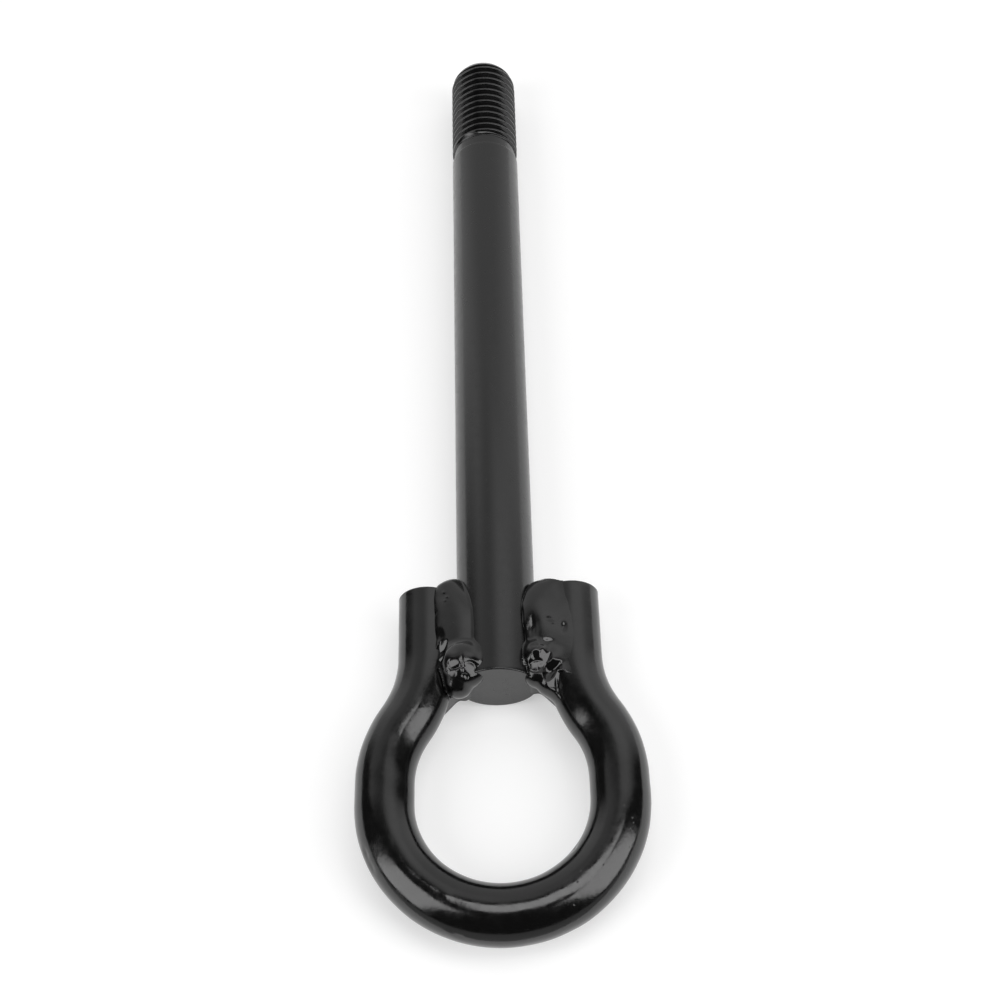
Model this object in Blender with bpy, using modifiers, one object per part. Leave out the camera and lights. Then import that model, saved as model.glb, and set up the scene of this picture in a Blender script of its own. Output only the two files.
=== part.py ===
"""Recovery tow hook: a threaded round shank welded between the two legs of a bent eye.

Metres, +Z up. The hook lies level on its shank, thread to +Y and eye to -Y.
Every piece is drawn in the hook's own frame, where the shank's sawn foot face is
the plane y = 0 and its axis is the line x = 0, z = 0, and hangs under one empty
that sets the hook down on z = 0 with the middle of its outline at the origin.
"""
import math

import bmesh
import bpy
import numpy as np

MM = 0.001

# Shank: a drawn round bar, painted, with a coarse metric thread turned on its far end
SHANK_DIAMETER = 15.8 * MM
SHANK_TO_SHOULDER = 142.9 * MM
FOOT_CHAMFER = 0.2 * MM
SHOULDER_CHAMFER = 0.35 * MM
NECK_WIDTH = 2.4 * MM
NECK_BELOW_THREAD = 0.45 * MM

# Thread, right hand, M16 x 2
THREAD_DIAMETER = 15.8 * MM
THREAD_PITCH = 2.0 * MM
THREAD_LENGTH = 27.6 * MM
THREAD_DEPTH = 1.2 * MM
THREAD_ROOT_FLAT = 0.25 * MM
THREAD_CREST_FLAT = 0.3 * MM
THREAD_RUNOUT_TURNS = 0.75
TIP_FACE_DIAMETER = 11.6 * MM
TIP_ROUND_LENGTH = 4.6 * MM

# Eye: one round bar bent into a ring with two straight legs
EYE_BAR_DIAMETER = 11.5 * MM
RING_RADIUS = 22.2 * MM
RING_STRAIGHT = 4.0 * MM
RING_SIDE_SHIFT = 0.3 * MM
NECK_BEND_RADIUS = 24.8 * MM
LEG_STRAIGHT_FROM_FOOT = 5.8 * MM
LEG_END_FROM_FOOT = 20.5 * MM
LEG_END_BREAK = 0.5 * MM
LEFT_LEG_GAP = 0.3 * MM
RIGHT_LEG_GAP = 1.4 * MM

# Weld beads in the four valleys between the shank and the legs. A bead's edge lies
# on each bar at an angle from that bar's crown.
WELD_CLEARANCE = 0.3 * MM
LEFT_SEAM_ANGLES = (math.radians(37), math.radians(17))
RIGHT_SEAM_ANGLES = (math.radians(45), math.radians(25))
LOWER_SEAM_ANGLES = (math.radians(45), math.radians(35))
UPPER_BEAD_RISE = 0.9 * MM
LOWER_BEAD_HOLLOW = 0.5 * MM
BEAD_RIPPLE = 0.12 * MM
BEAD_RIPPLE_PITCH = 3.1 * MM
BEAD_FOOT_ROUND = 1.8 * MM
BEAD_FAR_ROUND = 2.6 * MM
BEAD_END_FULLNESS = 0.3
BEAD_END_NARROWING = 0.6
UPPER_BEAD_FROM_FOOT = 1.6 * MM
LOWER_BEAD_PAST_FOOT = 1.1 * MM
LEFT_BEAD_PAST_LEG = 2.2 * MM
RIGHT_BEAD_PAST_LEG = 1.9 * MM
LOWER_BEAD_PAST_LEG = 1.1 * MM
BEAD_INTO_SHANK = 2.4 * MM
BEAD_INTO_LEG = 1.7 * MM
WEB_OVER_FACE = 0.6 * MM
WEB_FLARE = 2.8 * MM
WEB_FLARE_REACH = 5.0 * MM

# How finely round forms are faceted
TURN_STEPS = 36
BAR_SIDES = 24
ARC_STEP = math.radians(6.5)
BEAD_STATIONS = 22
BEAD_ARC_POINTS = 9

LEFT = -1
RIGHT = 1
SHANK_RADIUS = SHANK_DIAMETER / 2
EYE_BAR_RADIUS = EYE_BAR_DIAMETER / 2
THREAD_START_Y = SHANK_TO_SHOULDER + NECK_WIDTH
TIP_Y = THREAD_START_Y + THREAD_LENGTH

# Lumps of weld metal where a bead ends at the foot. Each is an ellipsoid: its centre's
# distance from the line where the bars meet (+ towards the leg), from the foot face
# (+ towards the thread) and from the legs' level, and its three half sizes.
UPPER_LEFT_LUMPS = (
    ((-1.35 * MM, 2.9 * MM, 4.4 * MM), (4.4 * MM, 4.5 * MM, 4.3 * MM)),
)
UPPER_RIGHT_LUMPS = (
    ((-0.9 * MM, 4.2 * MM, 4.3 * MM), (2.9 * MM, 3.6 * MM, 3.4 * MM)),
    ((2.4 * MM, 3.3 * MM, 3.7 * MM), (3.5 * MM, 3.7 * MM, 3.3 * MM)),
    ((2.3 * MM, 0.3 * MM, 2.4 * MM), (3.2 * MM, 2.9 * MM, 3.1 * MM)),
    ((-0.7 * MM, 1.2 * MM, 3.1 * MM), (2.9 * MM, 2.9 * MM, 3.3 * MM)),
)
LUMP_SEGMENTS = 18
LUMP_RINGS = 11


def clear_scene():
    """Remove every object that the opened file holds."""
    for obj in list(bpy.data.objects):
        bpy.data.objects.remove(obj, do_unlink=True)


def new_collection(name):
    collection = bpy.data.collections.new(name)
    bpy.context.scene.collection.children.link(collection)
    return collection


def gloss_paint(name, colour, roughness):
    """Black stoving paint: a Principled BSDF without metal of its own."""
    material = bpy.data.materials.new(name)
    material.use_nodes = True
    shader = material.node_tree.nodes["Principled BSDF"]
    shader.inputs["Base Color"].default_value = (*colour, 1.0)
    shader.inputs["Roughness"].default_value = roughness
    shader.inputs["Metallic"].default_value = 0.0
    material.diffuse_color = (*colour, 1.0)
    return material


def add_mesh(name, mesh, collection, frame):
    """Put a mesh into the scene as an object under the hook's frame."""
    obj = bpy.data.objects.new(name, mesh)
    collection.objects.link(obj)
    obj.parent = frame
    return obj


def mesh_from_bmesh(name, bm):
    bmesh.ops.recalc_face_normals(bm, faces=bm.faces[:])
    mesh = bpy.data.meshes.new(name)
    bm.to_mesh(mesh)
    bm.free()
    return mesh


def hide_cutter(obj):
    obj.hide_render = True
    obj.display_type = "WIRE"


def boolean(obj, operation, other):
    """Add a Boolean that stays on the object."""
    modifier = obj.modifiers.new(operation.lower() + "_" + other.name, "BOOLEAN")
    modifier.operation = operation
    modifier.solver = "EXACT"
    modifier.object = other
    return modifier


def turned(name, profile, collection, frame):
    """Revolve a profile of (radius, y) points, listed from the tip down its outer side."""
    mesh = bpy.data.meshes.new(name)
    points = [(radius, 0.0, height) for radius, height in profile]
    mesh.from_pydata(points, [(i, i + 1) for i in range(len(points) - 1)], [])
    obj = add_mesh(name, mesh, collection, frame)
    obj.rotation_euler = (-math.pi / 2, 0.0, 0.0)
    screw = obj.modifiers.new("turn", "SCREW")
    screw.axis = "Z"
    screw.steps = TURN_STEPS
    screw.render_steps = TURN_STEPS
    screw.use_merge_vertices = True
    screw.merge_threshold = 0.00001
    return obj


def tip_round_profile():
    """Arc from the rim of the tip's face back to where it is tangent to the thread's outside."""
    drop = (THREAD_DIAMETER - TIP_FACE_DIAMETER) / 2
    radius = (TIP_ROUND_LENGTH ** 2 + drop ** 2) / (2 * drop)
    sweep = math.asin(TIP_ROUND_LENGTH / radius)
    angles = np.linspace(sweep, 0.0, 6)
    radii = THREAD_DIAMETER / 2 - radius * (1 - np.cos(angles))
    heights = TIP_Y - TIP_ROUND_LENGTH + radius * np.sin(angles)
    return list(zip(radii.tolist(), heights.tolist()))


def shank_profile():
    """Outline of the turned bar before its thread is cut, from the tip to the foot."""
    neck = THREAD_DIAMETER / 2 - NECK_BELOW_THREAD
    shoulder = SHANK_RADIUS - SHOULDER_CHAMFER
    return [
        (0.0, TIP_Y),
        *tip_round_profile(),
        (THREAD_DIAMETER / 2, THREAD_START_Y + NECK_BELOW_THREAD),
        (neck, THREAD_START_Y),
        (neck, SHANK_TO_SHOULDER),
        (shoulder, SHANK_TO_SHOULDER),
        (SHANK_RADIUS, SHANK_TO_SHOULDER - SHOULDER_CHAMFER),
        (SHANK_RADIUS, FOOT_CHAMFER),
        (SHANK_RADIUS - FOOT_CHAMFER, 0.0),
        (0.0, 0.0),
    ]


def thread_groove(collection, frame):
    """Cutter for the thread: a V section carried up a right-hand helix.

    It starts outside the bar over the neck, sinks to full depth over the run-out
    and leaves past the tip. Each section is a trapezium with a flat root.
    """
    start = THREAD_START_Y
    turns = (TIP_Y + THREAD_PITCH - start) / THREAD_PITCH
    count = int(round(turns * TURN_STEPS)) + 1
    turn = np.arange(count) / TURN_STEPS
    angle = turn * 2 * math.pi
    height = start + turn * THREAD_PITCH
    lift = THREAD_DEPTH * np.clip(1 - turn / THREAD_RUNOUT_TURNS, 0, 1)
    half_mouth = (THREAD_PITCH - THREAD_CREST_FLAT) / 2
    half_root = THREAD_ROOT_FLAT / 2
    proud = 0.1 * THREAD_DEPTH
    slope = (half_mouth - half_root) / THREAD_DEPTH
    root = THREAD_DIAMETER / 2 - THREAD_DEPTH
    outside = THREAD_DIAMETER / 2 + proud
    half_outside = half_mouth + slope * proud
    section = ((root, half_root), (outside, half_outside), (outside, -half_outside), (root, -half_root))

    bm = bmesh.new()
    rings = []
    for a, h, rise in zip(angle, height, lift):
        ring = []
        for radius, offset in section:
            reach = radius + rise
            ring.append(bm.verts.new((reach * math.sin(a), h + offset, reach * math.cos(a))))
        rings.append(ring)
    for lower, upper in zip(rings, rings[1:]):
        for i in range(4):
            j = (i + 1) % 4
            bm.faces.new((lower[i], lower[j], upper[j], upper[i]))
    bm.faces.new(rings[0])
    bm.faces.new(rings[-1])
    cutter = add_mesh("thread_groove", mesh_from_bmesh("thread_groove", bm), collection, frame)
    hide_cutter(cutter)
    return cutter


def make_shank(parts, cutters, frame):
    shank = turned("threaded_shank", shank_profile(), parts, frame)
    boolean(shank, "DIFFERENCE", thread_groove(cutters, frame))
    return shank


def arc(centre_x, centre_y, radius, start, end):
    """Points along an arc in the plane of the eye, both ends included."""
    count = max(2, int(math.ceil(abs(end - start) / ARC_STEP)) + 1)
    angles = np.linspace(start, end, count)
    return np.stack([centre_x + radius * np.cos(angles), centre_y + radius * np.sin(angles)], axis=1)


def leg_from_axis(side):
    """Distance from the shank's axis to the straight part of the leg on that side."""
    gap = LEFT_LEG_GAP if side == LEFT else RIGHT_LEG_GAP
    return SHANK_RADIUS + gap + EYE_BAR_RADIUS


def neck_bend(side):
    """Sweep of the neck bend, and how far its centre lies beyond the ring's upper centre."""
    reach = RING_RADIUS + NECK_BEND_RADIUS
    across = leg_from_axis(side) - side * RING_SIDE_SHIFT + NECK_BEND_RADIUS
    sweep = math.acos(across / reach)
    return sweep, reach * math.sin(sweep)


def ring_centre_y():
    """The ring hangs where its right neck bend meets the straight part of the right leg."""
    return LEG_STRAIGHT_FROM_FOOT - neck_bend(RIGHT)[1] - RING_STRAIGHT


def ring_bottom_y():
    return ring_centre_y() - RING_RADIUS - EYE_BAR_RADIUS


def half_eye(side, past_end):
    """Centre line from one leg's end to the ring's bottom, as distance from the ring's middle."""
    sweep, rise = neck_bend(side)
    lower_y = ring_centre_y()
    upper_y = lower_y + RING_STRAIGHT
    leg = leg_from_axis(side) - side * RING_SIDE_SHIFT
    leg_end = np.array([[leg, LEG_END_FROM_FOOT + past_end]])
    bend = arc(leg + NECK_BEND_RADIUS, upper_y + rise, NECK_BEND_RADIUS, math.pi, math.pi + sweep)
    shoulder = arc(0.0, upper_y, RING_RADIUS, sweep, 0.0)
    bottom = arc(0.0, lower_y, RING_RADIUS, 0.0, -math.pi / 2)
    return np.concatenate([leg_end, bend, shoulder[1:], bottom])


def eye_centreline(past_end=0.0):
    """Centre line of the bar from the left leg's end round the ring to the right leg's end."""
    left = half_eye(LEFT, past_end)[:-1] * (-1, 1)
    right = half_eye(RIGHT, past_end)[::-1]
    path = np.concatenate([left, right])
    path[:, 0] += RING_SIDE_SHIFT
    return path


def bar_from_axis(side, y):
    """Distance from the shank's axis to the bar's centre line at a place along the leg or neck."""
    bend_y = ring_centre_y() + RING_STRAIGHT + neck_bend(side)[1]
    drop = max(0.0, bend_y - y)
    return leg_from_axis(side) + NECK_BEND_RADIUS - math.sqrt(NECK_BEND_RADIUS ** 2 - drop ** 2)


def bent_bar(name, path, radius, collection, frame):
    """Round bar along a path: a curve with a bevel and filled caps, made into one closed mesh."""
    curve = bpy.data.curves.new(name + "_path", "CURVE")
    curve.dimensions = "3D"
    curve.bevel_depth = radius
    curve.bevel_resolution = BAR_SIDES // 2 - 2
    curve.use_fill_caps = True
    spline = curve.splines.new("POLY")
    spline.points.add(len(path) - 1)
    for point, (x, y) in zip(spline.points, path):
        point.co = (x, y, 0.0, 1.0)
    guide = bpy.data.objects.new(name + "_path", curve)
    collection.objects.link(guide)
    guide.parent = frame
    bpy.context.view_layer.update()
    evaluated = guide.evaluated_get(bpy.context.evaluated_depsgraph_get())
    mesh = bpy.data.meshes.new_from_object(evaluated)
    mesh.name = name
    bm = bmesh.new()
    bm.from_mesh(mesh)
    bmesh.ops.remove_doubles(bm, verts=bm.verts[:], dist=0.00001)
    bmesh.ops.recalc_face_normals(bm, faces=bm.faces[:])
    bm.to_mesh(mesh)
    bm.free()
    bar = bpy.data.objects.new(name, mesh)
    collection.objects.link(bar)
    bar.parent = frame
    bar.matrix_world = guide.matrix_world
    bpy.data.objects.remove(guide, do_unlink=True)
    return bar


def break_end_edges(bar):
    """Take the sharp edge off the two sawn ends of the bar."""
    bm = bmesh.new()
    bm.from_mesh(bar.data)
    caps = [face for face in bm.faces if len(face.verts) > 4]
    rims = [edge for face in caps for edge in face.edges]
    bmesh.ops.bevel(bm, geom=rims, offset=LEG_END_BREAK, segments=2, profile=0.5, affect="EDGES")
    bm.to_mesh(bar.data)
    bm.free()


def make_eye(parts, frame):
    eye = bent_bar("eye_bar", eye_centreline(), EYE_BAR_RADIUS, parts, frame)
    break_end_edges(eye)
    return eye


def clearance_cutters(cutters, frame):
    """The shank and the eye's bar, each thicker and longer by the clearance to the beads."""
    reach = SHANK_RADIUS + WELD_CLEARANCE
    far = LEG_END_FROM_FOOT + 2 * max(LEFT_BEAD_PAST_LEG, RIGHT_BEAD_PAST_LEG, LOWER_BEAD_PAST_LEG)
    profile = [(0.0, far), (reach, far), (reach, -WELD_CLEARANCE), (0.0, -WELD_CLEARANCE)]
    around_shank = turned("around_shank", profile, cutters, frame)
    path = eye_centreline(WELD_CLEARANCE)
    around_eye = bent_bar("around_eye", path, EYE_BAR_RADIUS + WELD_CLEARANCE, cutters, frame)
    hide_cutter(around_shank)
    hide_cutter(around_eye)
    return around_shank, around_eye


def bead_section(side, y, seam_angles, rise, width):
    """Outer line of a bead across one valley, as distance from the axis and height.

    It runs from its seam on the shank to its seam on the leg and bulges by rise over
    the straight line between them. Width is 1 along the legs and less past their ends.
    """
    on_shank, on_leg = seam_angles
    start = SHANK_RADIUS * np.array([math.sin(on_shank), math.cos(on_shank)])
    crown = np.array([bar_from_axis(side, y), 0.0])
    end = crown + EYE_BAR_RADIUS * np.array([-math.sin(on_leg), math.cos(on_leg)])
    t = np.linspace(0.0, width, BEAD_ARC_POINTS)
    line = start + t[:, None] * (end - start)
    line[:, 1] += rise * 4 * t * (1 - t)
    return line


def rounded_ends(stations, foot_round, far_round):
    """How full a bead is at each station: 1 along its middle, rounded off at both ends."""
    from_foot = np.clip((stations - stations[0]) / foot_round, 0, 1)
    from_far = np.clip((stations[-1] - stations) / far_round, 0, 1)
    fullness = np.sqrt(1 - (1 - from_foot) ** 2) * np.sqrt(1 - (1 - from_far) ** 2)
    return BEAD_END_FULLNESS + (1 - BEAD_END_FULLNESS) * fullness


def close_end(bm, ring):
    """Close a loft's end with a fan, because a flared end isn't flat."""
    middle = sum((vert.co for vert in ring), start=ring[0].co * 0) / len(ring)
    hub = bm.verts.new(middle)
    for vert, after in zip(ring, ring[1:] + ring[:1]):
        bm.faces.new((vert, after, hub))


def bead_body(name, side, up, start_y, past_leg, seam_angles, rise, flare, collection, frame):
    """Weld metal in one valley: outer lines lofted along the shank, closed at the legs' level.

    At the foot end the metal runs out along the neck by flare, as a concave web.
    """
    end_y = LEG_END_FROM_FOOT + past_leg
    stations = np.linspace(start_y, end_y, BEAD_STATIONS)
    fullness = rounded_ends(stations, BEAD_FOOT_ROUND, BEAD_FAR_ROUND)
    past = np.clip((stations - LEG_END_FROM_FOOT) / past_leg, 0, 1)
    ripple = BEAD_RIPPLE * np.sin(2 * math.pi * stations / BEAD_RIPPLE_PITCH)
    pull = flare * np.clip(1 - (stations - start_y) / WEB_FLARE_REACH, 0, 1)
    parting = WELD_CLEARANCE / 2

    bm = bmesh.new()
    rings = []
    for y, full, beyond, wave, run in zip(stations, fullness, past, ripple, pull):
        inward = BEAD_INTO_SHANK if y > 0 else WEB_OVER_FACE
        line = bead_section(side, y, seam_angles, rise + wave, 1 - BEAD_END_NARROWING * beyond)
        line[:, 1] *= full
        outline = [(line[0, 0] - inward, line[0, 1]), *line.tolist()]
        outline.append((line[-1, 0] + BEAD_INTO_LEG / 2, line[-1, 1] - BEAD_INTO_LEG * full))
        outline.append((line[-1, 0], parting))
        outline.append((line[0, 0] - inward, parting))
        ring = []
        for x, z in outline:
            across = max(0.0, (x - line[0, 0]) / (line[-1, 0] - line[0, 0]))
            ring.append(bm.verts.new((side * x, y - run * across ** 2, up * z)))
        rings.append(ring)
    points = len(rings[0])
    for near, far in zip(rings, rings[1:]):
        for i in range(points):
            j = (i + 1) % points
            bm.faces.new((near[i], near[j], far[j], far[i]))
    close_end(bm, rings[0])
    close_end(bm, rings[-1])
    return add_mesh(name, mesh_from_bmesh(name, bm), collection, frame)


def meeting_line(side):
    """Distance from the axis to the middle of the gap between the shank and the leg."""
    return (SHANK_RADIUS + leg_from_axis(side) - EYE_BAR_RADIUS) / 2


def lump(name, side, centre, radii, cutters, frame):
    """An ellipsoid of weld metal, cut flat where the upper and the lower bead part."""
    bm = bmesh.new()
    bmesh.ops.create_uvsphere(bm, u_segments=LUMP_SEGMENTS, v_segments=LUMP_RINGS, radius=1.0)
    across, along, height = centre
    parting = WELD_CLEARANCE / 2
    for vert in bm.verts:
        x = meeting_line(side) + across + vert.co.x * radii[0]
        y = along + vert.co.y * radii[1]
        z = max(parting, height + vert.co.z * radii[2])
        vert.co = (side * x, y, z)
    bmesh.ops.dissolve_degenerate(bm, dist=0.00001, edges=bm.edges[:])
    obj = add_mesh(name, mesh_from_bmesh(name, bm), cutters, frame)
    hide_cutter(obj)
    return obj


def make_upper_bead(name, side, past_leg, seam_angles, lumps, around, parts, cutters, frame):
    """A bead that ends in lumps at the foot, less the room that the two bars take."""
    bead = bead_body(name, side, 1, UPPER_BEAD_FROM_FOOT, past_leg, seam_angles,
                     UPPER_BEAD_RISE, 0.0, parts, frame)
    for number, (centre, radii) in enumerate(lumps, start=1):
        boolean(bead, "UNION", lump("%s_lump_%d" % (name, number), side, centre, radii, cutters, frame))
    for cutter in around:
        boolean(bead, "DIFFERENCE", cutter)
    return bead


def make_lower_bead(name, side, around, parts, frame):
    """A hollow bead whose foot end spreads past the foot face as a web to the neck."""
    bead = bead_body(name, side, -1, -LOWER_BEAD_PAST_FOOT, LOWER_BEAD_PAST_LEG, LOWER_SEAM_ANGLES,
                     -LOWER_BEAD_HOLLOW, WEB_FLARE, parts, frame)
    for cutter in around:
        boolean(bead, "DIFFERENCE", cutter)
    return bead


def shade(obj):
    """Smooth shading with the hard edges kept."""
    obj.data.shade_smooth()
    obj.data.set_sharp_from_angle(angle=math.radians(35))


def build():
    clear_scene()
    parts = new_collection("recovery_tow_hook")
    cutters = new_collection("cutters")
    frame = bpy.data.objects.new("hook_frame", None)
    parts.objects.link(frame)
    frame.location = (-RING_SIDE_SHIFT, -(TIP_Y + ring_bottom_y()) / 2, SHANK_RADIUS)
    bpy.context.view_layer.update()

    shank = make_shank(parts, cutters, frame)
    eye = make_eye(parts, frame)
    around = clearance_cutters(cutters, frame)
    beads = [
        make_upper_bead("weld_upper_left", LEFT, LEFT_BEAD_PAST_LEG, LEFT_SEAM_ANGLES,
                        UPPER_LEFT_LUMPS, around, parts, cutters, frame),
        make_upper_bead("weld_upper_right", RIGHT, RIGHT_BEAD_PAST_LEG, RIGHT_SEAM_ANGLES,
                        UPPER_RIGHT_LUMPS, around, parts, cutters, frame),
        make_lower_bead("weld_lower_left", LEFT, around, parts, frame),
        make_lower_bead("weld_lower_right", RIGHT, around, parts, frame),
    ]

    shank.data.materials.append(gloss_paint("black_paint_on_turned_bar", (0.012, 0.012, 0.012), 0.32))
    eye.data.materials.append(gloss_paint("black_paint_on_bent_bar", (0.010, 0.010, 0.010), 0.22))
    for bead in beads:
        bead.data.materials.append(gloss_paint("black_paint_on_" + bead.name, (0.010, 0.010, 0.010), 0.2))
    for piece in (shank, eye, *beads):
        shade(piece)


build()
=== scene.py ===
import math

import bpy
import numpy as np
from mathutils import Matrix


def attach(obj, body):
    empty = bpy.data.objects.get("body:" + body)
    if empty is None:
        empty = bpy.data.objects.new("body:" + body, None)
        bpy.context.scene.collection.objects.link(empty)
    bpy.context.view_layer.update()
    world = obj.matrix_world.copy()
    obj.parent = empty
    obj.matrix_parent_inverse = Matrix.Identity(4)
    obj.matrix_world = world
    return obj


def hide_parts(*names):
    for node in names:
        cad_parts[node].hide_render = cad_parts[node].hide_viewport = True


# Looks of a welded towing eye: a threaded round shank between the legs of a bent round bar,
# all under one coat of gloss black stoving paint. Six painted surfaces stand for the six CAD
# solids. Shapes are worked out in millimetres in the hook's own frame (foot face at y = 0,
# shank axis on x = 0, z = 0, thread to +Y) and set down in the row frame at the end.

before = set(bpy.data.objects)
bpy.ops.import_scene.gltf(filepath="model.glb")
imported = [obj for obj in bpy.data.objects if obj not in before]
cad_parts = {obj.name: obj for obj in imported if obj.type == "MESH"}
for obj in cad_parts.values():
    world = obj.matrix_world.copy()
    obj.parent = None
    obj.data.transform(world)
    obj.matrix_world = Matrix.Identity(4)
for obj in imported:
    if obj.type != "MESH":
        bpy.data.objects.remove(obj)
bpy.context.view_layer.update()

MM = 0.001
# Middle of the foot face in the row frame, in millimetres
FOOT_IN_ROW = np.array([-0.3, -60.678, 7.9])
LEFT = -1
RIGHT = 1


# Shapes

def ease(low, high, x):
    """Smooth step from 0 at low to 1 at high, level at both ends; high may be the lower one."""
    t = np.clip((x - low) / (high - low), 0.0, 1.0)
    return t * t * (3.0 - 2.0 * t)


def curve_through(places, values, at):
    """Smooth curve through a few values: the one polynomial that meets them all, held level
    a little way outside them."""
    curve = np.polynomial.Polynomial.fit(places, values, len(places) - 1)
    return curve(np.clip(at, min(places) - 2, max(places) + 2))


def waves(points, wavelength, seed, count=14):
    """Gentle unevenness, mostly from -1 to 1: the sum of sine waves of about one length in
    seeded random directions over the square root of their count, at each point."""
    draw = np.random.default_rng(seed)
    heading = draw.normal(size=(count, 3))
    heading /= np.linalg.norm(heading, axis=1)[:, None]
    rate = 2 * math.pi / (wavelength * draw.uniform(0.7, 1.5, count))
    start = draw.uniform(0, 2 * math.pi, count)
    phase = points @ (heading * rate[:, None]).T + start
    return np.sin(phase).sum(axis=-1) / math.sqrt(count) / 1.6


def paint_piece(name, rings, near_pole, far_pole):
    """Closed mesh from rings of points.

    rings is an array of ring, place round the ring and xyz in millimetres in the hook's
    frame. Quads join each ring to the next, and a fan to a pole closes either end. The faces
    are turned over if the volume that they close comes out negative.
    """
    count, around = rings.shape[:2]
    points = np.concatenate([rings.reshape(-1, 3), [near_pole, far_pole]])
    points = (points + FOOT_IN_ROW) * MM
    here = np.arange(count * around).reshape(count, around)
    beside = np.roll(here, -1, axis=1)
    quads = np.stack([here[:-1], beside[:-1], beside[1:], here[1:]], axis=-1).reshape(-1, 4)
    near = np.stack([beside[0], here[0], np.full(around, count * around)], axis=-1)
    far = np.stack([here[-1], beside[-1], np.full(around, count * around + 1)], axis=-1)
    triangles = np.concatenate([quads[:, [0, 1, 2]], quads[:, [0, 2, 3]], near, far])
    a, b, c = (points[triangles[:, i]] for i in range(3))
    turn = 1 if (a * np.cross(b, c)).sum() > 0 else -1
    faces = quads[:, ::turn].tolist() + near[:, ::turn].tolist() + far[:, ::turn].tolist()
    mesh = bpy.data.meshes.new(name)
    mesh.from_pydata(points.tolist(), [], faces)
    mesh.shade_smooth()
    piece = bpy.data.objects.new(name, mesh)
    bpy.context.scene.collection.objects.link(piece)
    return piece


# The turned shank

SHANK_R = 7.9
SHOULDER_Y = 142.9
NECK_R = 7.45
THREAD_Y = 145.7
TIP_Y = 172.899
TIP_FACE_R = 5.8
TIP_ROUND = 4.6
PITCH = 2.0
GROOVE = 1.2
CREST_FLAT = 0.44
CREST_CROWN = 0.05
ROOT_FLAT = 0.25
RUNOUT_TURNS = 0.5
THREAD_LAG = 0.22
THREAD_LEAD_SLOPE = 2.5
SHOULDER_ROUND = 0.35
NECK_FILLET = 0.2
TIP_EDGE = 0.15
FOOT_EDGE = 0.25
SHANK_AROUND = 160
FACE_RINGS = 12
PLAIN_RINGS = 132
THREAD_RINGS = 380
# Slight hollows that drawing leaves along the plain bar: depth and length
DRAWN_DIP = 0.012
DRAWN_WAVE = 16.0


def corner(y, r, radius, from_angle, to_angle, count=5):
    """Quarter-round edge: an arc of (y, radius) points about the centre (y, r)."""
    angle = np.radians(np.linspace(from_angle, to_angle, count))
    return np.stack([y + radius * np.cos(angle), r + radius * np.sin(angle)], axis=1)


def shank_outline():
    """Outline (y, radius) of the bar from the foot face's middle to the tip face's middle."""
    drop = SHANK_R - TIP_FACE_R
    tip_r = (TIP_ROUND ** 2 + drop ** 2) / (2 * drop)
    sweep = math.asin(TIP_ROUND / tip_r)
    across = np.linspace(0.5, SHANK_R - FOOT_EDGE - 0.05, FACE_RINGS)
    face = np.stack([np.zeros(FACE_RINGS), across], axis=1)
    rim = corner(FOOT_EDGE, SHANK_R - FOOT_EDGE, FOOT_EDGE, 180, 90, 6)
    plain_y = np.linspace(0.8, SHOULDER_Y - 0.8, PLAIN_RINGS)
    plain = np.stack([plain_y, np.full(PLAIN_RINGS, SHANK_R)], axis=1)
    shoulder = corner(SHOULDER_Y - SHOULDER_ROUND, SHANK_R - SHOULDER_ROUND, SHOULDER_ROUND, 90, 0, 6)
    fillet = corner(SHOULDER_Y + NECK_FILLET, NECK_R + NECK_FILLET, NECK_FILLET, 180, 270, 4)
    neck_y = np.linspace(SHOULDER_Y + 0.5, THREAD_Y - 0.1, 8)
    neck = np.stack([neck_y, np.full(8, NECK_R)], axis=1)
    cut_y = np.linspace(THREAD_Y, TIP_Y - TIP_EDGE, THREAD_RINGS)
    lead = np.minimum(NECK_R + THREAD_LEAD_SLOPE * (cut_y - THREAD_Y), SHANK_R)
    back = np.clip(cut_y - (TIP_Y - TIP_ROUND), 0, None) / tip_r
    rounded = SHANK_R - tip_r * (1 - np.sqrt(1 - back ** 2))
    thread = np.stack([cut_y, np.minimum(lead, rounded)], axis=1)
    edge_r = SHANK_R - tip_r * (1 - math.cos(sweep)) - 0.2
    tip = np.stack([np.full(5, TIP_Y), np.linspace(edge_r, 0.8, 5)], axis=1)
    return np.concatenate([face, rim, plain, shoulder, fillet, neck, thread, tip])


def thread_radius(y, angle):
    """Radius that the thread leaves: its crest less a V whose place climbs one pitch a turn.

    The V fades out over the last part of a turn towards the neck. The crest between two Vs
    is crowned, as a rolled thread's is.
    """
    turn = (y - THREAD_Y) / PITCH
    phase = turn - THREAD_LAG - angle / (2 * math.pi)
    from_root = np.abs(phase - np.round(phase)) * PITCH
    from_crest = PITCH / 2 - from_root
    flank = (PITCH - CREST_FLAT - ROOT_FLAT) / 2
    depth = GROOVE * np.clip((from_crest - CREST_FLAT / 2) / flank, 0, 1)
    depth -= GROOVE * np.clip(1 - turn / RUNOUT_TURNS, 0, 1)
    crown = CREST_CROWN * np.clip(from_crest / (CREST_FLAT / 2), 0, 1) ** 2
    return SHANK_R - crown - np.clip(depth, 0, None)


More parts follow.
